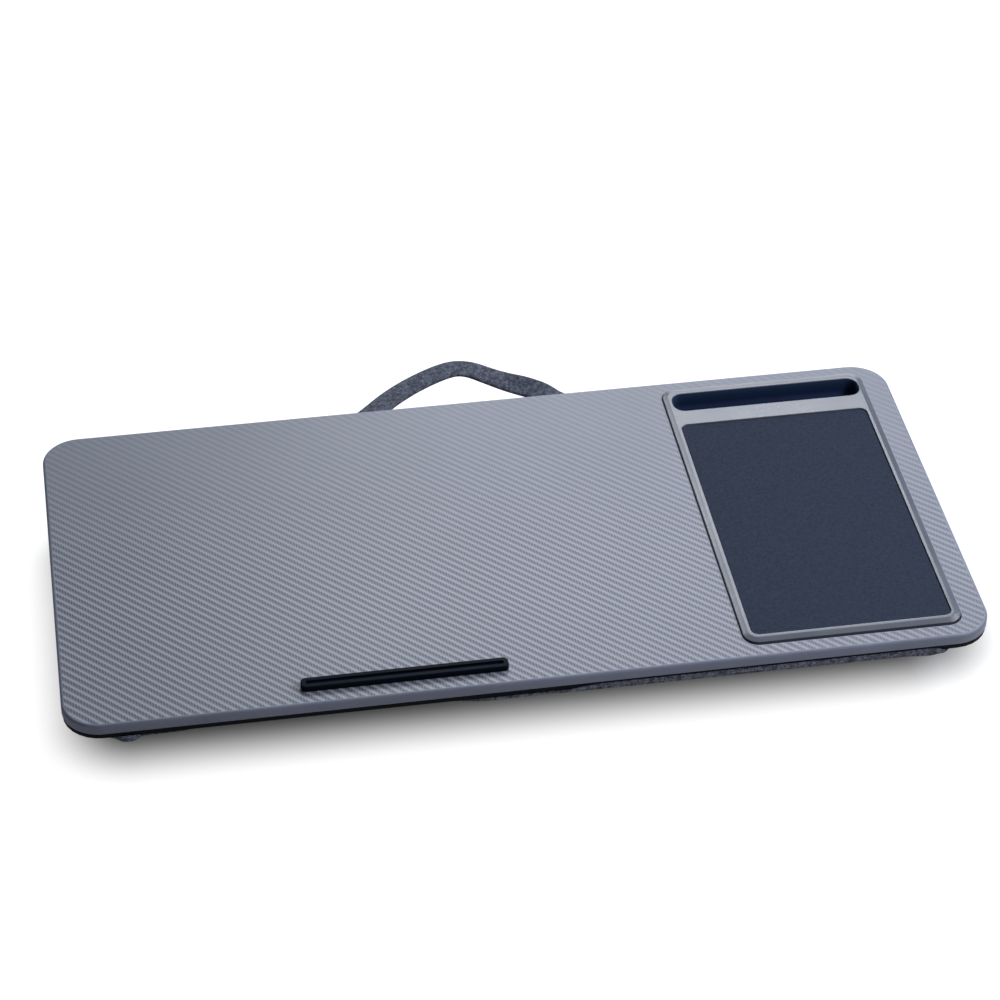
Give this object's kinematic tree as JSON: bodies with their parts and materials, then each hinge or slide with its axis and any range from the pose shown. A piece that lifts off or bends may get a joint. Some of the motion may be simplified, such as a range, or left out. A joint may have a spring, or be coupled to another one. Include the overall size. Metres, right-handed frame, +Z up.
{
  "type": "lap desk",
  "caption": "Lap desk: flat woven-look board on stuffed cushions, with an inset mouse pad tray, a phone slot, a laptop stop ledge and a strap handle that swings.",
  "frame": {"origin": "on the surface that the cushions stand on, under the middle of the whole part with its handle held out", "axes": "+X along the board towards the mouse pad, +Y towards the handle edge, +Z up out of the board's top"},
  "size_m": [0.56, 0.3294, 0.0561],
  "materials": {
    "board_film": "fibreboard wrapped in grey film, satin, with a fine printed twill weave on its top face",
    "black_sheet": "black, matt",
    "grey_plastic": "moulded grey, satin",
    "black_plastic": "moulded black, satin",
    "pad_cloth": "dark blue-grey, fine knitted",
    "pad_rubber": "black, foamed",
    "heather_cloth": "dark blue-grey heather, woven",
    "polyester_fill": "white loose fibre",
    "zinc_steel": "zinc plated"
  },
  "bodies": {
    "board": {"top_panel": "board_film", "backing_sheet": "black_sheet", "tray_insert": "grey_plastic", "phone_well": "black_plastic", "mouse_pad_base": "pad_rubber", "mouse_pad_cloth": "pad_cloth", "device_ledge": "black_plastic", "ledge_push_nut_1": "zinc_steel", "ledge_push_nut_2": "zinc_steel", "ledge_push_nut_3": "zinc_steel", "handle_tail_left": "heather_cloth", "handle_tail_right": "heather_cloth", "left_cushion_cover": "heather_cloth", "right_cushion_cover": "heather_cloth", "left_cushion_filling": "polyester_fill", "right_cushion_filling": "polyester_fill", "handle_screw_1": "zinc_steel", "handle_screw_2": "zinc_steel", "handle_screw_3": "zinc_steel", "handle_screw_4": "zinc_steel", "insert_screw_1": "zinc_steel", "insert_screw_2": "zinc_steel", "insert_screw_3": "zinc_steel", "insert_screw_4": "zinc_steel", "insert_screw_5": "zinc_steel", "insert_screw_6": "zinc_steel", "insert_screw_7": "zinc_steel", "insert_screw_8": "zinc_steel", "backing_screw_1": "zinc_steel", "backing_screw_2": "zinc_steel", "backing_screw_3": "zinc_steel", "backing_screw_4": "zinc_steel", "backing_screw_5": "zinc_steel", "backing_screw_6": "zinc_steel", "backing_screw_7": "zinc_steel", "backing_screw_8": "zinc_steel", "backing_screw_9": "zinc_steel", "backing_screw_10": "zinc_steel", "backing_screw_11": "zinc_steel", "backing_screw_12": "zinc_steel"},
    "handle": {"handle_strap": "heather_cloth"}
  },
  "joints": [
    {"name": "handle_swing", "type": "hinge", "parent": "board", "child": "handle", "pos_m": [-0.0032, 0.11694, 0.0469], "axis": [1, 0, 0], "range_deg": [-60, 80]}
  ]
}
